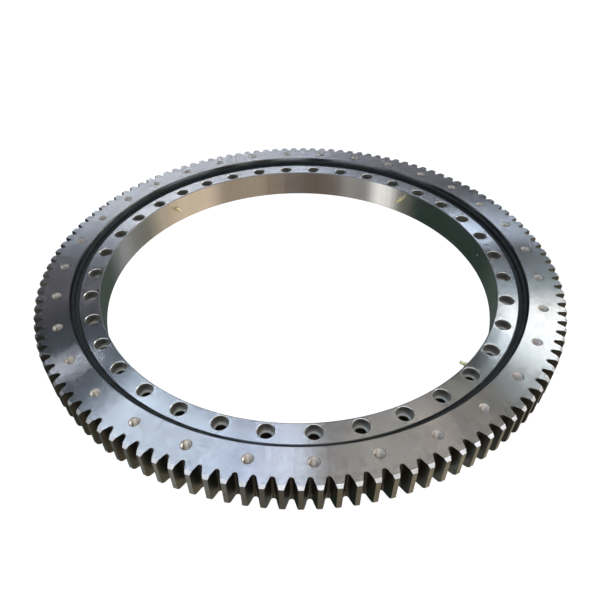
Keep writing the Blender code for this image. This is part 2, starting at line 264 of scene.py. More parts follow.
class Tree:
    """Short names for building a node tree: a material's, or a world's when one is given."""

    def __init__(self, name, world=None):
        self.mat = world or bpy.data.materials.new(name)
        self.mat.use_nodes = True
        self.nodes = self.mat.node_tree.nodes
        self.links = self.mat.node_tree.links
        self.shader = self.nodes["Background" if world else "Principled BSDF"]

    def link(self, source, target):
        self.links.new(source, target)

    def feed(self, value, socket):
        """Links a socket, or sets its default when the value is a number or tuple."""
        if isinstance(value, bpy.types.NodeSocket):
            self.links.new(value, socket)
        elif value is not None:
            socket.default_value = value

    def coords(self):
        return self.nodes.new("ShaderNodeTexCoord").outputs["Object"]

    def math(self, operation, a, b=None, c=None):
        node = self.nodes.new("ShaderNodeMath")
        node.operation = operation
        for value, socket in zip((a, b, c), node.inputs):
            self.feed(value, socket)
        return node.outputs[0]

    def combine(self, x, y, z):
        node = self.nodes.new("ShaderNodeCombineXYZ")
        for value, socket in zip((x, y, z), node.inputs):
            self.feed(value, socket)
        return node.outputs[0]

    def polar(self):
        """(radius, azimuth, height) of the shaded point about the ring's axis."""
        split = self.nodes.new("ShaderNodeSeparateXYZ")
        self.link(self.coords(), split.inputs[0])
        x, y, z = split.outputs
        squares = self.math("ADD", self.math("MULTIPLY", x, x), self.math("MULTIPLY", y, y))
        return self.math("SQRT", squares), self.math("ARCTAN2", y, x), z

    def noise(self, vector, scale, detail=3.0, roughness=0.5):
        node = self.nodes.new("ShaderNodeTexNoise")
        self.feed(vector, node.inputs["Vector"])
        node.inputs["Scale"].default_value = scale
        node.inputs["Detail"].default_value = detail
        node.inputs["Roughness"].default_value = roughness
        return node.outputs["Fac"]

    def remap(self, value, low, high, to_low, to_high):
        node = self.nodes.new("ShaderNodeMapRange")
        for v, socket in zip((value, low, high, to_low, to_high), node.inputs):
            self.feed(v, socket)
        return node.outputs[0]

    def mix(self, factor, a, b, blend="MIX"):
        node = self.nodes.new("ShaderNodeMix")
        node.data_type = "RGBA"
        node.blend_type = blend
        self.feed(factor, node.inputs["Factor"])
        self.feed(a if isinstance(a, bpy.types.NodeSocket) else (*a, 1), node.inputs["A"])
        self.feed(b if isinstance(b, bpy.types.NodeSocket) else (*b, 1), node.inputs["B"])
        return node.outputs["Result"]

    def vector(self, operation, a, b=None, c=None):
        node = self.nodes.new("ShaderNodeVectorMath")
        node.operation = operation
        for value, socket in zip((a, b, c), node.inputs):
            self.feed(value, socket)
        return node.outputs[0]

    def bump(self, height, strength, distance):
        node = self.nodes.new("ShaderNodeBump")
        node.inputs["Strength"].default_value = strength
        node.inputs["Distance"].default_value = distance
        self.feed(height, node.inputs["Height"])
        self.link(node.outputs[0], self.shader.inputs["Normal"])

    def grooves(self, along, tangent, feed, slope):
        """Tool marks: round-bottomed grooves, one at each feed, that tilt the surface up to slope."""
        place = self.math("FRACT", self.math("DIVIDE", along, feed))
        tilt = self.math("MULTIPLY_ADD", place, 2.0 * slope, -slope)
        normal = self.nodes.new("ShaderNodeNewGeometry").outputs["Normal"]
        across = self.vector("CROSS_PRODUCT", tangent, normal)
        tilted = self.vector("MULTIPLY_ADD", across, self.combine(tilt, tilt, tilt), normal)
        self.link(self.vector("NORMALIZE", tilted), self.shader.inputs["Normal"])

    def set(self, **values):
        names = {"color": "Base Color", "rough": "Roughness", "metal": "Metallic",
                 "aniso": "Anisotropic", "turn": "Anisotropic Rotation", "level": "Specular IOR Level",
                 "coat": "Coat Weight", "coat_rough": "Coat Roughness", "sheen": "Sheen Weight"}
        for key, value in values.items():
            if isinstance(value, tuple):
                value = (*value, 1)
            self.feed(value, self.shader.inputs[names[key]])


# ---------------------------------------------------------------- materials

# How far the lathe's tool moves on in each turn
TURNING_FEED = 0.6 * MM


def turned_steel(name, tint, rough=0.2, streaks=1.0, slope=0.42):
    """Bare steel off the lathe: circular tool marks, a little cloudy oil, faint rays across.

    streaks is how strongly the colour varies, and slope how steep the tool marks' sides are.
    """
    t = Tree(name)
    r, a, z = t.polar()
    across = t.combine(t.math("ADD", r, z), 0.37, 0.21)
    marks = t.noise(across, 520, 2, 0.5)
    bands = t.noise(across, 110, 2, 0.5)
    around_axis = t.combine(t.math("COSINE", a), t.math("SINE", a), t.math("MULTIPLY", r, 0.6))
    rays = t.noise(around_axis, 70, 4, 0.75)
    clouds = t.noise(t.coords(), 14, 4, 0.55)
    shade = t.remap(bands, 0.25, 0.75, -0.05, 0.05)
    shade = t.math("ADD", shade, t.remap(rays, 0.25, 0.75, -0.2, 0.2))
    shade = t.math("ADD", shade, t.remap(marks, 0.25, 0.75, -0.05, 0.05))
    shade = t.math("MULTIPLY_ADD", shade, streaks, 0.5)
    dark = tuple(c * 0.72 for c in tint)
    light = tuple(min(1, c * 1.28) for c in tint)
    color = t.mix(shade, dark, light)
    oily = t.remap(clouds, 0.5, 0.75, 0.0, 0.4)
    color = t.mix(oily, color, (tint[0] * 0.87, tint[1] * 0.84, tint[2] * 0.79))
    tangent = t.nodes.new("ShaderNodeTangent")
    tangent.direction_type = "RADIAL"
    tangent.axis = "Z"
    t.link(tangent.outputs[0], t.shader.inputs["Tangent"])
    t.set(color=color, metal=1.0, aniso=0.99, turn=0.25)
    t.set(rough=t.remap(bands, 0.25, 0.75, rough - 0.02, rough + 0.02))
    t.grooves(t.math("ADD", r, z), tangent.outputs[0], TURNING_FEED, slope)
    return t.mat


def plain_steel(name, tint, rough, metal=1.0, painted_shade_below=None):
    """Steel cut by a drill, hob or file: even gloss, fine marks, a little oil in patches.

    Below the height that the last argument gives, deep in a hole, it is painted nearly black: painted
    shade.
    """
    t = Tree(name)
    r, a, z = t.polar()
    marks = t.noise(t.combine(t.math("MULTIPLY", a, 0.4), r, t.math("MULTIPLY", z, 6)), 220, 3, 0.6)
    clouds = t.noise(t.coords(), 60, 4, 0.6)
    dark = tuple(c * 0.8 for c in tint)
    light = tuple(c * 1.15 for c in tint)
    color = t.mix(t.remap(marks, 0.3, 0.7, 0, 1), dark, light)
    color = t.mix(t.remap(clouds, 0.45, 0.75, 0.0, 0.5), color, tuple(c * 0.65 for c in tint))
    # Painted shade: below the given height, deep in the hole, the colour goes nearly black.
    if painted_shade_below is not None:
        deep_shade = t.remap(z, painted_shade_below - 2 * MM, painted_shade_below, 1.0, 0.0)
        color = t.mix(deep_shade, color, tuple(c * 0.12 for c in tint))
    t.set(color=color, metal=metal, rough=t.remap(clouds, 0.3, 0.7, rough - 0.06, rough + 0.08))
    t.bump(marks, 0.12, 0.05 * MM)
    return t.mat


def rubber(name):
    """Dark nitrile rubber with a matt moulded skin and a trace of grease."""
    t = Tree(name)
    grain = t.noise(t.coords(), 1800, 3, 0.6)
    smear = t.noise(t.coords(), 35, 3, 0.6)
    color = t.mix(t.remap(smear, 0.4, 0.7, 0, 1), (0.010, 0.013, 0.013), (0.018, 0.022, 0.022))
    t.set(color=color, rough=t.remap(smear, 0.35, 0.7, 0.5, 0.38), level=0.32)
    t.bump(grain, 0.25, 0.05 * MM)
    return t.mat


def brass(name, tint=(0.80, 0.60, 0.28), rough=0.24):
    """Turned brass, slightly tarnished."""
    t = Tree(name)
    tarnish = t.noise(t.coords(), 260, 4, 0.6)
    marks = t.noise(t.coords(), 2400, 2, 0.5)
    tarnished = (tint[0] * 0.72, tint[1] * 0.7, tint[2] * 0.6)
    color = t.mix(t.remap(tarnish, 0.4, 0.75, 0.0, 0.7), tint, tarnished)
    t.set(color=color, metal=0.85, rough=t.remap(tarnish, 0.3, 0.7, rough - 0.05, rough + 0.12))
    t.bump(marks, 0.15, 0.03 * MM)
    return t.mat


def polished_steel(name):
    """Ground and lapped ball steel with a thin film of grease."""
    t = Tree(name)
    film = t.noise(t.coords(), 90, 3, 0.6)
    color = t.mix(t.remap(film, 0.45, 0.75, 0, 0.6), (0.72, 0.73, 0.75), (0.55, 0.52, 0.46))
    t.set(color=color, metal=1.0, rough=t.remap(film, 0.4, 0.7, 0.06, 0.16))
    t.bump(film, 0.05, 0.05 * MM)
    return t.mat


# ---------------------------------------------------------------- gear ring

def raceway(side, sides=9):
    """The gothic groove's corners from bottom to top: side is +1 outside the balls, -1 inside."""
    edge = math.acos(LAND_HALF_GAP / GROOVE_R)
    points = []
    for i in range(sides + 1):
        a = -edge + 2 * edge * i / sides
        r = BALL_CIRCLE_R + side * GROOVE_R * math.cos(a)
        points.append((r, BALL_Z + GROOVE_R * math.sin(a)))
    return points


def half_tooth_angle(radius):
    """Half of the angle that an involute tooth fills at a radius."""
    def involute(angle):
        return math.tan(angle) - angle

    at_pitch = (math.pi / 2 + 2 * PROFILE_SHIFT * math.tan(PRESSURE_ANGLE)) / TEETH
    at_pitch -= BACKLASH / 2 / PITCH_R
    return at_pitch + involute(PRESSURE_ANGLE) - involute(math.acos(BASE_R / radius))


def flank_point(radius):
    """A point on one side of the tooth space about +X."""
    a = math.pi / TEETH - half_tooth_angle(radius)
    return Vector((radius * math.cos(a), radius * math.sin(a)))


def root_arc():
    """(centre radius, arc radius, flank radius): the round that joins both flanks at the root."""
    radii = [ROOT_R + i * 0.05 * MM for i in range(240)]

    def closest(rho):
        return min((flank_point(r) - Vector((ROOT_R + rho, 0))).length - rho for r in radii)

    low, high = 1 * MM, 6 * MM
    for _ in range(30):
        middle = (low + high) / 2
        low, high = (middle, high) if closest(middle) > 0 else (low, middle)
    rho = (low + high) / 2
    centre = Vector((ROOT_R + rho, 0))
    touch = min(radii, key=lambda r: (flank_point(r) - centre).length)
    return centre.x, rho, touch


def tooth_space():
    """One gap between teeth, about +X: involute flanks on a full round root."""
    centre, rho, touch = root_arc()
    contact = flank_point(touch) - Vector((centre, 0))
    spread = math.atan2(contact.y, contact.x)
    far = TIP_R + 4 * MM
    flank = [flank_point(touch + (far - touch) * i / 9) for i in range(1, 10)]
    arc = []
    for i in range(11):
        a = spread + (math.tau - 2 * spread) * i / 10
        arc.append(Vector((centre + rho * math.cos(a), rho * math.sin(a))))
    mirrored = [Vector((p.x, -p.y)) for p in flank]
    return list(reversed(flank)) + arc + mirrored


def gear_blank():
    """The gear ring before its teeth and holes: walls, raceway, seal groove, tip chamfers."""
    land_r = BALL_CIRCLE_R + LAND_HALF_GAP
    groove_r = OUTER_WALL_R + SEAL_GROOVE_DEPTH
    outline = [
        (OUTER_WALL_R + EDGE, OUTER_BOTTOM_Z),
        (TIP_R - FOOT_BEVEL, OUTER_BOTTOM_Z),
        (TIP_R, OUTER_BOTTOM_Z + FOOT_BEVEL),
        (TIP_R, OUTER_TOP_Z - TOP_BEVEL_HEIGHT),
        (TIP_R - TOP_BEVEL_WIDTH, OUTER_TOP_Z),
        (OUTER_WALL_R + EDGE, OUTER_TOP_Z),
        (OUTER_WALL_R, OUTER_TOP_Z - EDGE),
        (OUTER_WALL_R, SEAL_GROOVE_HIGH_Z),
        (groove_r, SEAL_GROOVE_HIGH_Z),
        (groove_r, SEAL_GROOVE_LOW_Z),
        (OUTER_WALL_R, SEAL_GROOVE_LOW_Z),
        (OUTER_WALL_R, LAND_TOP_Z),
        (land_r, LAND_TOP_Z),
        *reversed(raceway(1)),
        (land_r, LAND_BOTTOM_Z),
        (OUTER_WALL_R, LAND_BOTTOM_Z),
        (OUTER_WALL_R, OUTER_BOTTOM_Z + EDGE),
    ]
    return spin_outline(bmesh.new(), outline, GEAR_STEPS, FIRST_TOOTH)


def tooth_spaces():
    """A prism for every gap between two teeth, taller than the ring."""
    bm = bmesh.new()
    corners = tooth_space()
    for angle in around(TEETH, FIRST_TOOTH + math.pi / TEETH):
        turn = Matrix.Rotation(angle, 2)
        turned = [turn @ p for p in corners]
        prism(bm, turned, OUTER_BOTTOM_Z - OVERSHOOT, OUTER_TOP_Z + OVERSHOOT)
    return bm


def tapped_holes():
    """The holes through the gear ring, out to the thread's major size, with countersunk mouths."""
    bm = bmesh.new()
    mouth = THREAD_MAJOR_R + TAPPED_MOUTH
    outline = [
        (mouth, OUTER_BOTTOM_Z - OVERSHOOT),
        (mouth, OUTER_BOTTOM_Z),
        (THREAD_MAJOR_R, OUTER_BOTTOM_Z + TAPPED_MOUTH),
        (THREAD_MAJOR_R, OUTER_TOP_Z - TAPPED_MOUTH),
        (mouth, OUTER_TOP_Z),
        (mouth, OUTER_TOP_Z + OVERSHOOT),
    ]
    for angle in around(OUTER_HOLE_COUNT, FIRST_OUTER_HOLE):
        turned_solid(bm, outline, 40, upright(OUTER_HOLE_CIRCLE_R, angle))
    return bm


def choose_gear_face(centre, normal, radius):
    """0 turned faces, 1 tip bevels, 2 flanks and roots, 3 hole walls, 4 tip lands, 5 inner wall."""
    distance = nearest_axis_distance(centre, OUTER_HOLE_CIRCLE_R, OUTER_HOLE_COUNT, FIRST_OUTER_HOLE)
    if distance < THREAD_MAJOR_R + TAPPED_MOUTH + 0.1 * MM and abs(normal.z) < 0.99:
        return 3
    if abs(normal.z) > 0.95:
        return 0
    if radius < OUTER_WALL_R + 2 * MM:
        return 5
    if radius > ROOT_R - 0.5 * MM:
        if 0.5 < abs(normal.z):
            return 1
        outward = (normal.x * centre.x + normal.y * centre.y) / radius
        if outward > 0.995 and radius > TIP_R - 0.5 * MM:
            return 4
        return 2
    return 0


def make_gear_ring(mats):
    """The toothed ring with its tapped holes."""
    mesh = carve("gear_ring", gear_blank(), [tooth_spaces(), tapped_holes()])
    paint_faces(mesh, choose_gear_face)
    ring = add_object("gear_ring", mesh, mats["turned"], mats["chamfer"], mats["flank"], mats["hole"],
                      mats["tip"], mats["wall"])
    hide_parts("outer_gear_ring")
    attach(ring, "outer_ring")


def thread_ridge(bm, place, low, high, steps=20):
    """Adds one screw thread: a three-sided ridge wound up the hole wall, thin at both ends."""
    turns = (high - low) / THREAD_PITCH
    count = int(turns * steps)
    fade = steps // 2
    rows = []
    for i in range(count + 1):
        a = math.tau * i / steps
        z = low + THREAD_PITCH * i / steps
        grow = min(1, i / fade, (count - i) / fade)
        crest = THREAD_MAJOR_R - (THREAD_MAJOR_R - THREAD_MINOR_R) * max(grow, 0.05)
        half = THREAD_PITCH * 0.47
        seat = THREAD_MAJOR_R + 0.1 * MM
        points = [(seat, z - half), (crest, z - 0.12 * MM), (crest, z + 0.12 * MM), (seat, z + half)]
        turned = [(r * math.cos(a), r * math.sin(a), h) for r, h in points]
        rows.append([bm.verts.new(place @ Vector(point)) for point in turned])
    for here, there in zip(rows, rows[1:]):
        for j in range(4):
            k = (j + 1) % 4
            bm.faces.new((here[j], here[k], there[k], there[j]))
    bm.faces.new(rows[0])
    bm.faces.new(rows[-1])


def make_threads(mats):
    """A thread in every tapped hole, from just below one mouth to just above the other."""
    bm = bmesh.new()
    low, high = OUTER_BOTTOM_Z + THREAD_END, OUTER_TOP_Z - THREAD_END
    for angle in around(OUTER_HOLE_COUNT, FIRST_OUTER_HOLE):
        thread_ridge(bm, upright(OUTER_HOLE_CIRCLE_R, angle), low, high)
    threads = add_object("gear_ring_threads", finish_mesh("gear_ring_threads", bm), mats["thread"])
    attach(threads, "outer_ring")


# ---------------------------------------------------------------- inner ring

def inner_blank():
    """The inner ring before its holes: bore with a rounded top edge, walls and raceway."""
    land_r = BALL_CIRCLE_R - LAND_HALF_GAP
    c = EDGE
    outline = [
        (BORE_R + c, 0),
        (INNER_WALL_R - c, 0),
        (INNER_WALL_R, c),
        (INNER_WALL_R, LAND_BOTTOM_Z),
        (land_r, LAND_BOTTOM_Z),
        *raceway(-1),
        (land_r, LAND_TOP_Z),
        (INNER_WALL_R, LAND_TOP_Z),
        (INNER_WALL_R, INNER_TOP_Z - c),
        (INNER_WALL_R - c, INNER_TOP_Z),
        (BORE_R + BORE_LIP, INNER_TOP_Z),
        (BORE_R + 0.4 * BORE_LIP, INNER_TOP_Z - 0.2 * BORE_LIP),
        (BORE_R, INNER_TOP_Z - 0.8 * BORE_LIP),
        (BORE_R, c),
    ]
    return spin_outline(bmesh.new(), outline, INNER_STEPS)


def counterbored_holes():
    """The bolt holes through the inner ring, each wider above its shoulder, with broken edges."""
    bm = bmesh.new()
    shoulder = INNER_TOP_Z - COUNTERBORE_DEPTH
    rim = COUNTERBORE_RIM
    outline = [
        (INNER_HOLE_R + rim, -OVERSHOOT),
        (INNER_HOLE_R + rim, 0),
        (INNER_HOLE_R, rim),
        (INNER_HOLE_R, shoulder - 0.5 * MM),
        (INNER_HOLE_R + 0.5 * MM, shoulder),
        (COUNTERBORE_R, shoulder),
        (COUNTERBORE_R, INNER_TOP_Z - rim),
        (COUNTERBORE_R + rim, INNER_TOP_Z),
        (COUNTERBORE_R + rim, INNER_TOP_Z + OVERSHOOT),
    ]
    for angle in around(INNER_HOLE_COUNT):
        turned_solid(bm, outline, 48, upright(INNER_HOLE_CIRCLE_R, angle))
    return bm


def plug_and_nipple_holes():
    """The filler plug's hole, its pin's hole and the nipple holes with their grease channels."""
    bm = bmesh.new()
    plug_hole_r = PLUG_R + PLUG_CLEARANCE
    wall = [(plug_hole_r, BORE_R - BALL_CIRCLE_R), (plug_hole_r, OVERSHOOT)]
    turned_solid(bm, wall, 48, inward(BORE_R, PLUG_ANGLE, BALL_Z))
    for angle in NIPPLE_ANGLES:
        channel = [
            (GREASE_CHANNEL_R, BORE_R - BALL_CIRCLE_R),
            (GREASE_CHANNEL_R, -NIPPLE_SEAT_DEPTH),
            (NIPPLE_SEAT_R, -NIPPLE_SEAT_DEPTH),
            (NIPPLE_SEAT_R, -SPOT_FACE_DEPTH),
            (SPOT_FACE_R, -SPOT_FACE_DEPTH),
            (SPOT_FACE_R, OVERSHOOT),
        ]
        turned_solid(bm, channel, 32, inward(BORE_R, angle, BALL_Z))
    return bm


def pin_hole():
    """The upright hole for the taper pin, from the top face down into the plug."""
    bm = bmesh.new()
    outline = [
        (PIN_HOLE_R, PIN_LOW.z - FIT_GAP),
        (PIN_HOLE_R, INNER_TOP_Z - 0.5 * MM),
        (PIN_HOLE_R + 0.5 * MM, INNER_TOP_Z),
        (PIN_HOLE_R + 0.5 * MM, INNER_TOP_Z + OVERSHOOT),
    ]
    turned_solid(bm, outline, 32, upright(INNER_HOLE_CIRCLE_R, PLUG_ANGLE))
    return bm


def choose_inner_face(centre, normal, radius):
    """0 turned faces and walls, 1 drilled walls, 2 shoulders, 3 rims, 4 the bore, 5 its top edge."""
    distance = nearest_axis_distance(centre, INNER_HOLE_CIRCLE_R, INNER_HOLE_COUNT)
    if distance < COUNTERBORE_R + COUNTERBORE_RIM + 0.05 * MM:
        if abs(normal.z) > 0.95 and 1 * MM < centre.z < INNER_TOP_Z - 1 * MM:
            return 2
        if abs(normal.z) > 0.5 and centre.z > INNER_TOP_Z - 1 * MM and abs(normal.z) < 0.95:
            return 3
        if abs(normal.z) < 0.95 and radius > BORE_R + 2 * MM:
            return 1
    if radius < BORE_R + 0.3 * MM and abs(normal.z) < 0.5:
        return 4
    if radius < BORE_R + BORE_LIP and 0.5 < normal.z < 0.99:
        return 5
    return 0


def make_inner_ring(mats):
    """The fixed ring with its bolt holes, plug hole, pin hole and nipple holes."""
    holes = [counterbored_holes(), plug_and_nipple_holes(), pin_hole()]
    mesh = carve("inner_ring_turned", inner_blank(), holes)
    paint_faces(mesh, choose_inner_face)
    ring = add_object("inner_ring_turned", mesh, mats["turned_inner"], mats["hole"], mats["shoulder"],
                      mats["rim"], mats["bore"], mats["edge"])
    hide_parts("inner_ring")
    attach(ring, "inner_ring")


# ---------------------------------------------------------------- seals

def make_upper_seal(mats):
    """A moulded ring: a tall body with a bead in the outer ring's groove, a bowed web, a soft lip."""
    wall = OUTER_WALL_R - 0.4 * MM
    foot, head = SEAL_LOW.z, SEAL_HIGH.z
    web = foot + 3.6 * MM
    lip = INNER_WALL_R + 0.45 * MM
    bead = OUTER_WALL_R + SEAL_GROOVE_DEPTH - 0.3 * MM
    outline = [
        (wall, foot),
        (wall, SEAL_GROOVE_LOW_Z + 0.2 * MM),
        (bead, SEAL_GROOVE_LOW_Z + 0.6 * MM),
        (bead, SEAL_GROOVE_HIGH_Z - 0.6 * MM),
        (wall, SEAL_GROOVE_HIGH_Z - 0.2 * MM),
        (wall, head - 0.4 * MM),
        (wall - 0.5 * MM, head),
        (wall - 2.2 * MM, head),
        (wall - 2.6 * MM, head - 0.4 * MM),
        (wall - 3.2 * MM, head - 0.4 * MM),
        (wall - 3.6 * MM, head),
        (wall - 4.9 * MM, head - 0.1 * MM),
        (wall - 5.7 * MM, head - 0.7 * MM),
        (wall - 5.9 * MM, head - 1.7 * MM),
        (wall - 5.5 * MM, head - 3.4 * MM),
        (wall - 5.2 * MM, head - 5.2 * MM),
        (wall - 5.6 * MM, web + 0.3 * MM),
        (wall - 7.5 * MM, web - 0.35 * MM),
        (wall - 9.8 * MM, web - 1.0 * MM),
        (lip + 0.5 * MM, web - 1.25 * MM),
        (lip, web - 1.5 * MM),
        (lip, web - 2.1 * MM),
        (lip + 0.6 * MM, web - 2.3 * MM),
        (wall - 9.0 * MM, web - 2.1 * MM),
        (wall - 6.6 * MM, foot + 0.8 * MM),
        (wall - 5.6 * MM, foot),
    ]
    mesh = finish_mesh("upper_lip_seal", spin_outline(bmesh.new(), outline, INNER_STEPS), 50)
    seal = add_object("upper_lip_seal", mesh, mats["rubber"])
    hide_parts("upper_seal")
    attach(seal, "outer_ring")


def make_lower_seal(mats):
    """The same kind of ring, turned over and held by the inner ring."""
    wall = INNER_WALL_R + 0.4 * MM
    foot, head = LOWER_SEAL_LOW.z, LOWER_SEAL_HIGH.z
    lip = OUTER_WALL_R - 0.45 * MM
    outline = [
        (wall, foot + 0.3 * MM),
        (wall + 0.4 * MM, foot),
        (wall + 1.6 * MM, foot),
        (wall + 2.0 * MM, foot + 0.5 * MM),
        (wall + 2.7 * MM, foot + 0.8 * MM),
        (wall + 3.4 * MM, foot + 0.5 * MM),
        (wall + 3.9 * MM, foot + 0.1 * MM),
        (wall + 5.4 * MM, foot),
        (wall + 7.5 * MM, foot + 0.2 * MM),
        (wall + 9.8 * MM, foot + 0.6 * MM),
        (lip - 0.5 * MM, foot + 0.8 * MM),
        (lip, foot + 1.0 * MM),
        (lip, foot + 1.5 * MM),
        (lip - 0.6 * MM, foot + 1.75 * MM),
        (wall + 9.0 * MM, foot + 1.7 * MM),
        (wall + 6.6 * MM, head - 0.6 * MM),
        (wall + 5.6 * MM, head),
        (wall, head),
    ]
    mesh = finish_mesh("lower_lip_seal", spin_outline(bmesh.new(), outline, INNER_STEPS), 50)
    seal = add_object("lower_lip_seal", mesh, mats["rubber"])
    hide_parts("lower_seal")
    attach(seal, "inner_ring")


# ---------------------------------------------------------------- plug, pin, nipples

def make_filler_plug(mats):
    """A plug that follows the bore, with a broken edge and a small centre hole."""
    bm = bmesh.new()
    bar = [(PLUG_R, BORE_R - BALL_CIRCLE_R), (PLUG_R, OVERSHOOT)]
    turned_solid(bm, bar, 64, inward(BORE_R, PLUG_ANGLE, BALL_Z))
    between = [(BORE_R, 2 * MM), (BORE_R, INNER_TOP_Z - 2 * MM), *reversed(raceway(-1))]
    keep = carve("plug_bar", bm, [spin_outline(bmesh.new(), between, INNER_STEPS)], "INTERSECT")
    trimmed = bmesh.new()
    trimmed.from_mesh(keep)
    centre = bmesh.new()
    drill = [(0.2 * MM, -5 * MM), (1.3 * MM, -3.2 * MM), (1.3 * MM, -0.9 * MM), (2.6 * MM, 0.4 * MM),
             (2.6 * MM, OVERSHOOT)]
    turned_solid(centre, drill, 24, inward(BORE_R, PLUG_ANGLE, BALL_Z))
    mesh = carve("ball_filler_plug", trimmed, [centre, pin_hole()])
    plug = add_object("ball_filler_plug", mesh, mats["plug"])
    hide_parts("filler_plug")
    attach(plug, "inner_ring")


def make_filler_pin(mats):
    """The taper pin that locks the plug, with domed ends."""
    bm = bmesh.new()
    low, high = PIN_LOW.z, PIN_HIGH.z
    outline = [
        (1.6 * MM, low), (2.8 * MM, low + 0.3 * MM), (3.35 * MM, low + 0.9 * MM),
        (3.85 * MM, high - 0.9 * MM), (3.3 * MM, high - 0.3 * MM), (1.9 * MM, high - 0.05 * MM),
        (0.3 * MM, high),
    ]
    turned_solid(bm, outline, 32, upright(INNER_HOLE_CIRCLE_R, PLUG_ANGLE))
    pin = add_object("plug_taper_pin", finish_mesh("plug_taper_pin", bm), mats["pin"])
    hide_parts("filler_pin")
    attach(pin, "inner_ring")


def make_nipple(number, angle, mats):
    """A straight grease nipple: threaded shank, hexagon, cone, waisted head with its ball."""
    bm = bmesh.new()
    shank = [(3.3 * MM, -6.9 * MM)]
    for i in range(8):
        z = -6.6 * MM + i * 0.8 * MM
        shank += [(3.75 * MM, z), (3.35 * MM, z + 0.4 * MM)]
    shank += [(3.3 * MM, 0.2 * MM), (4.2 * MM, 0.4 * MM), (4.2 * MM, 0.75 * MM)]
    turned_solid(bm, shank, 32, Matrix())
    hexagon = [(4.6 * MM, 0.7 * MM), (5.2 * MM, 1.0 * MM), (5.2 * MM, 5.6 * MM), (4.6 * MM, 5.9 * MM)]
    turned_solid(bm, hexagon, 6, Matrix(), math.pi / 6)
    head = [
        (4.2 * MM, 5.8 * MM), (4.0 * MM, 7.2 * MM), (3.4 * MM, 8.8 * MM), (2.7 * MM, 10.4 * MM),
        (2.55 * MM, 11.6 * MM), (2.7 * MM, 12.4 * MM), (3.2 * MM, 13.3 * MM), (3.25 * MM, 14.0 * MM),
        (3.25 * MM, 15.7 * MM), (2.8 * MM, 16.5 * MM), (1.6 * MM, 17.6 * MM), (1.15 * MM, 17.75 * MM),
        (0.9 * MM, 17.5 * MM), (0.85 * MM, 17.2 * MM),
    ]
    turned_solid(bm, head, 32, Matrix())
    ball = [(0.82 * MM * math.sin(a), 17.2 * MM + 0.7 * MM * (1 - math.cos(a)) / 2)
            for a in [math.pi * i / 8 for i in range(1, 8)]]
    turned_solid(bm, ball, 16, Matrix())
    bmesh.ops.transform(bm, matrix=inward(BORE_R, angle, BALL_Z), verts=bm.verts)
    name = f"brass_nipple_{number}"
    nipple = add_object(name, finish_mesh(name, bm), mats["brass"])
    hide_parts(f"grease_nipple_{number}")
    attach(nipple, "inner_ring")


# ---------------------------------------------------------------- balls and cage

def make_cage(mats):
    """A rolled brass band with a pocket for every ball."""
    inside, outside = BALL_CIRCLE_R - CAGE_HALF_THICKNESS, BALL_CIRCLE_R + CAGE_HALF_THICKNESS
    low, high = CAGE_LOW.z, CAGE_HIGH.z
    c = 0.3 * MM
    outline = [(inside + c, low), (outside - c, low), (outside, low + c), (outside, high - c),
               (outside - c, high), (inside + c, high), (inside, high - c), (inside, low + c)]
    band = spin_outline(bmesh.new(), outline, 2 * BALL_COUNT, math.pi / BALL_COUNT / 2)
    pockets = bmesh.new()
    across = [(CAGE_POCKET_R, -OVERSHOOT), (CAGE_POCKET_R, OVERSHOOT)]
    for angle in around(BALL_COUNT):
        turned_solid(pockets, across, 24, inward(BALL_CIRCLE_R, angle, BALL_Z))
    cage = add_object("pocketed_cage", carve("pocketed_cage", band, [pockets]), mats["cage"])
    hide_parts("ball_cage")
    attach(cage, "cage")


def make_balls(mats):
    """One mesh, shared by every ball: every second one stands for a CAD ball."""
    bm = bmesh.new()
    bmesh.ops.create_icosphere(bm, subdivisions=4, radius=BALL_R)
    mesh = finish_mesh("race_ball", bm)
    mesh.materials.append(mats["ball"])
    for i, angle in enumerate(around(BALL_COUNT)):
        ball = bpy.data.objects.new(f"race_ball_{i + 1:02d}", mesh)
        bpy.context.scene.collection.objects.link(ball)
        ball.matrix_world = upright(BALL_CIRCLE_R, angle) @ Matrix.Translation((0, 0, BALL_Z))
        if i % 2 == 0:
            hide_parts(f"ball_{i // 2 + 1:02d}")
        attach(ball, "cage")


# ---------------------------------------------------------------- studio

# The camera looks down at the ring from its near side. Its values come from a separate camera fit
# (metres, and radians where no unit is given).
CAMERA_PLACE = Vector((-0.0516, -0.8478, 0.7057))
VIEW_ELEVATION = 0.71690
VIEW_ROLL = math.radians(-1.8227)
VIEW_TURN = math.radians(-1.2426)
LENS = 32.04
SENSOR = 36.0
SHIFT_X = 0.0323

FLOOR_HALF = 20
FLOOR_GLOW = 0.92


def make_camera():
    """A camera above the near side, turned and rolled a little."""
    data = bpy.data.cameras.new("camera")
    data.lens = LENS
    data.sensor_width = SENSOR
    data.shift_x = SHIFT_X
    data.clip_start = 0.01
    camera = bpy.data.objects.new("camera", data)
    bpy.context.scene.collection.objects.link(camera)
    back = Vector((0, -math.cos(VIEW_ELEVATION), math.sin(VIEW_ELEVATION)))
    right = Vector((1, 0, 0))
    up = back.cross(right)
    level = Matrix((right, up, back)).transposed()
    turn = Matrix.Rotation(VIEW_TURN, 3, "Z") @ level @ Matrix.Rotation(VIEW_ROLL, 3, "Z")
    camera.matrix_world = Matrix.Translation(CAMERA_PLACE) @ turn.to_4x4()
    bpy.context.scene.camera = camera


def make_floor():
    """A pale floor that glows almost white, and that the metal doesn't mirror."""
    bm = bmesh.new()
    bmesh.ops.create_grid(bm, x_segments=4, y_segments=4, size=FLOOR_HALF)
    floor = add_object("floor", finish_mesh("floor", bm))
    t = Tree("floor_paint")
    grain = t.noise(t.coords(), 30, 3, 0.5)
    t.set(color=t.mix(grain, (0.26, 0.26, 0.26), (0.3, 0.3, 0.3)), rough=0.9, level=0.0)
    t.shader.inputs["Emission Color"].default_value = (1, 1, 1, 1)
    t.shader.inputs["Emission Strength"].default_value = FLOOR_GLOW
    floor.data.materials.append(t.mat)
    floor.visible_glossy = False
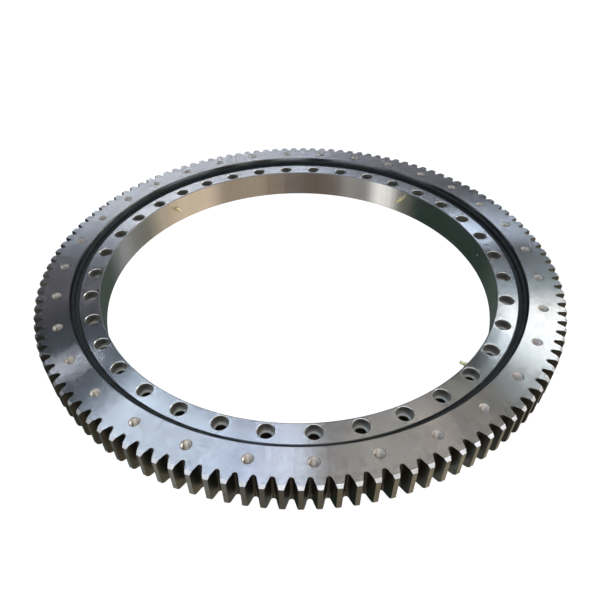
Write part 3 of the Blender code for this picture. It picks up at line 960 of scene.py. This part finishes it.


# Each panel: the azimuths and elevations it spans and its edge's softness in degrees, then radiance.
# The lamps and windows were worked out by another script, a least-squares fit to measured brightness,
# then rounded and pasted in. The bench was typed from a table of measured brightness and adjusted.
# The ceiling lamps and the camera's side were set one by one.
SKY_PANELS = [
    # lamps and windows (fitted)
    ((-4, 46, 27.5, 35, 0.5), (4.1, 3.9, 3.9)),
    ((-3, 41, 25, 32, 0.5), (2.9, 2.7, 2.5)),
    ((-3, 79, 47.5, 55, 0.5), (0.48, 0.46, 0.41)),
    ((-3, 89, 58, 64, 0.5), (0.69, 0.59, 0.52)),
    ((1, 56, 28, 42.5, 0.5), (1.4, 1.8, 2.0)),
    ((47, 86, 50, 65.5, 0.5), (1.3, 1.3, 1.3)),
    ((64, 197, 80, 87.5, 0.5), (0.48, 0.66, 0.91)),
    ((79, 94, 62.5, 80, 0.5), (1.9, 2.1, 2.6)),
    ((86, 115, 44.5, 50, 0.5), (3.3, 4.0, 5.0)),
    ((88, 114, 31.5, 33.5, 0.5), (1.4, 1.7, 2.1)),
    ((88, 96, 36.5, 77.5, 0.5), (1.4, 1.4, 1.6)),
    ((102, 136, 49.5, 53.5, 0.5), (1.6, 1.9, 2.3)),
    ((139, 165, 52, 75.5, 0.5), (2.3, 2.7, 3.1)),
    ((141, 234, 67.5, 82.5, 0.5), (0.29, 0.37, 0.56)),
    ((149, 157, 30, 37.5, 0.5), (5.8, 6.3, 7.2)),
    ((154, 241, 61, 77.5, 0.5), (0.71, 0.85, 1.1)),
    ((169, 280, 67.5, 84, 0.5), (0.21, 0.45, 0.78)),
    ((201, 280, 67.5, 80, 0.5), (0.32, 0.47, 0.71)),
    ((239, 273, 40, 61.5, 0.5), (0.12, 0.16, 0.21)),
    ((251, 331, 85, 90, 0.5), (0.44, 0.49, 0.57)),
    ((358, 394, 12.5, 20, 0.5), (1.0, 1.0, 1.0)),
    # ceiling lamps behind the camera
    ((225, 262, 50, 74, 3), (0.62, 0.62, 0.62)),
    ((262, 335, 50, 74, 3), (1.4, 1.4, 1.3)),
    # windows and lamps on the camera's side
    ((190, 206, 4, 46, 2), (1.3, 1.4, 1.6)),
    ((216, 246, 3, 38, 2), (1.6, 1.7, 1.9)),
    ((262, 278, 8, 47, 2), (2.4, 2.5, 2.7)),
    ((290, 300, 3, 44, 2), (1.2, 1.2, 1.2)),
    ((314, 344, 4, 34, 2), (1.9, 2.0, 2.2)),
    # the bench below (measured, then adjusted)
    ((-4, 8, -90, 0, 2), (0.56, 0.49, 0.37)),
    ((8, 31, -90, 0, 2), (0.22, 0.22, 0.19)),
    ((31, 41, -90, 0, 2), (0.47, 0.48, 0.48)),
    ((41, 50, -90, 0, 2), (0.24, 0.26, 0.26)),
    ((50, 110, -90, 0, 4), (0.075, 0.10, 0.085)),
    ((110, 190, -90, 0, 4), (0.035, 0.055, 0.045)),
    ((190, 201, -90, 0, 3), (0.2, 0.2, 0.16)),
    ((201, 216, -90, 0, 3), (1.35, 1.35, 1.3)),
    ((216, 226, -90, 0, 3), (0.27, 0.27, 0.27)),
    ((226, 236, -90, 0, 3), (0.37, 0.36, 0.34)),
    ((236, 280, -90, 0, 4), (0.19, 0.155, 0.125)),
    ((280, 320, -90, 0, 8), (0.47, 0.38, 0.28)),
    ((320, 356, -90, 0, 6), (0.90, 0.74, 0.54)),
]


def panel_mask(t, azimuth, elevation, panel):
    """1 inside a panel of the sky, 0 outside, with soft edges: all angles in degrees."""
    az_low, az_high, el_low, el_high, soft = panel
    away = t.math("SUBTRACT", azimuth, (az_low + az_high) / 2)
    away = t.math("ABSOLUTE", t.math("WRAP", away, 180.0, -180.0))
    half = (az_high - az_low) / 2
    across = t.remap(away, half - soft, half + soft, 1.0, 0.0)
    lower = t.remap(elevation, el_low - soft, el_low + soft, 0.0, 1.0)
    upper = t.remap(elevation, el_high - soft, el_high + soft, 1.0, 0.0)
    return t.math("MULTIPLY", across, t.math("MULTIPLY", lower, upper))


def make_world():
    """The studio around the ring: soft panels of light in the dark, and plain white to the camera."""
    world = bpy.data.worlds.new("studio")
    bpy.context.scene.world = world
    t = Tree("studio", world)
    split = t.nodes.new("ShaderNodeSeparateXYZ")
    t.link(t.nodes.new("ShaderNodeTexCoord").outputs["Generated"], split.inputs[0])
    x, y, z = split.outputs
    azimuth = t.math("DEGREES", t.math("ARCTAN2", y, x))
    elevation = t.math("DEGREES", t.math("ARCSINE", z))
    light = (0.0, 0.0, 0.0)
    for panel, radiance in SKY_PANELS:
        light = t.vector("MULTIPLY_ADD", panel_mask(t, azimuth, elevation, panel), radiance, light)
    seen = t.nodes.new("ShaderNodeLightPath").outputs["Is Camera Ray"]
    t.feed(t.mix(seen, light, (1.0, 1.0, 1.0)), t.shader.inputs["Color"])


def make_finishes():
    """Every material, by the short name that the pieces use."""
    steel = (0.615, 0.60, 0.59)
    shoulder_z = INNER_TOP_Z - COUNTERBORE_DEPTH
    return {
        "turned": turned_steel("gear_ring_turned", steel),
        # The inner ring's steel is a lighter copy of the gear ring's: painted light, making up for
        # light that the outer ring's wall keeps off it.
        "turned_inner": turned_steel("inner_ring_turned", (0.66, 0.66, 0.66), 0.2, 0.9),
        "bore": turned_steel("bore_finely_turned", steel, 0.18, 0.6, 0.1),
        "wall": turned_steel("gear_ring_inner_wall", (0.24, 0.24, 0.24), 0.25),
        # The tip bevels' near-white tint is a painted highlight: the light that the bevels catch.
        "chamfer": plain_steel("tip_chamfer_painted_highlight", (0.92, 0.9, 0.87), 0.4),
        # The tip lands' dark tint is painted shade on the ring's outer side.
        "tip": plain_steel("tip_land_painted_shade", (0.27, 0.275, 0.245), 0.42),
        # The flanks' near-black tint is painted shade in the gaps between the teeth.
        "flank": plain_steel("hobbed_flank_painted_shade", (0.085, 0.087, 0.075), 0.34),
        # Deep in the holes, below the shoulders, the drilled walls are painted nearly black: painted
        # shade.
        "hole": plain_steel("drilled_wall_steel", (0.36, 0.34, 0.30), 0.36, 0.85, shoulder_z),
        # The threads' bright cream tint is a painted highlight inside the tapped holes.
        "thread": plain_steel("thread_painted_highlight", (0.85, 0.76, 0.68), 0.36, 0.8),
        # The shoulders' near-white tint is painted light: the bright sky that they catch.
        "shoulder": plain_steel("shoulder_painted_light", (0.97, 0.95, 0.89), 0.5, 0.4),
        # The bore's top edge gets a dark tint: painted shade.
        "edge": plain_steel("bore_edge_painted_shade", (0.28, 0.28, 0.27), 0.46),
        # The counterbores' rims get a pale tint: a painted highlight along their edges.
        "rim": plain_steel("rim_painted_highlight", (0.85, 0.82, 0.76), 0.34),
        "plug": plain_steel("plug_face_steel", (0.5, 0.5, 0.5), 0.3),
        "pin": plain_steel("pin_ground_steel", (0.6, 0.6, 0.62), 0.25),
        "rubber": rubber("lip_seal_rubber"),
        "brass": brass("nipple_turned_brass", (0.95, 0.84, 0.48), 0.34),
        "cage": brass("cage_rolled_brass", (0.72, 0.5, 0.24), 0.32),
        "ball": polished_steel("lapped_ball_steel"),
    }


def main():
    """Builds every piece, then the floor and the light."""
    mats = make_finishes()
    make_camera()
    make_gear_ring(mats)
    make_threads(mats)
    make_inner_ring(mats)
    make_upper_seal(mats)
    make_lower_seal(mats)
    make_filler_plug(mats)
    make_filler_pin(mats)
    for number, angle in enumerate(NIPPLE_ANGLES, start=1):
        make_nipple(number, angle, mats)
    make_cage(mats)
    make_balls(mats)
    make_floor()
    make_world()
    bpy.context.scene.view_settings.view_transform = "Standard"


main()
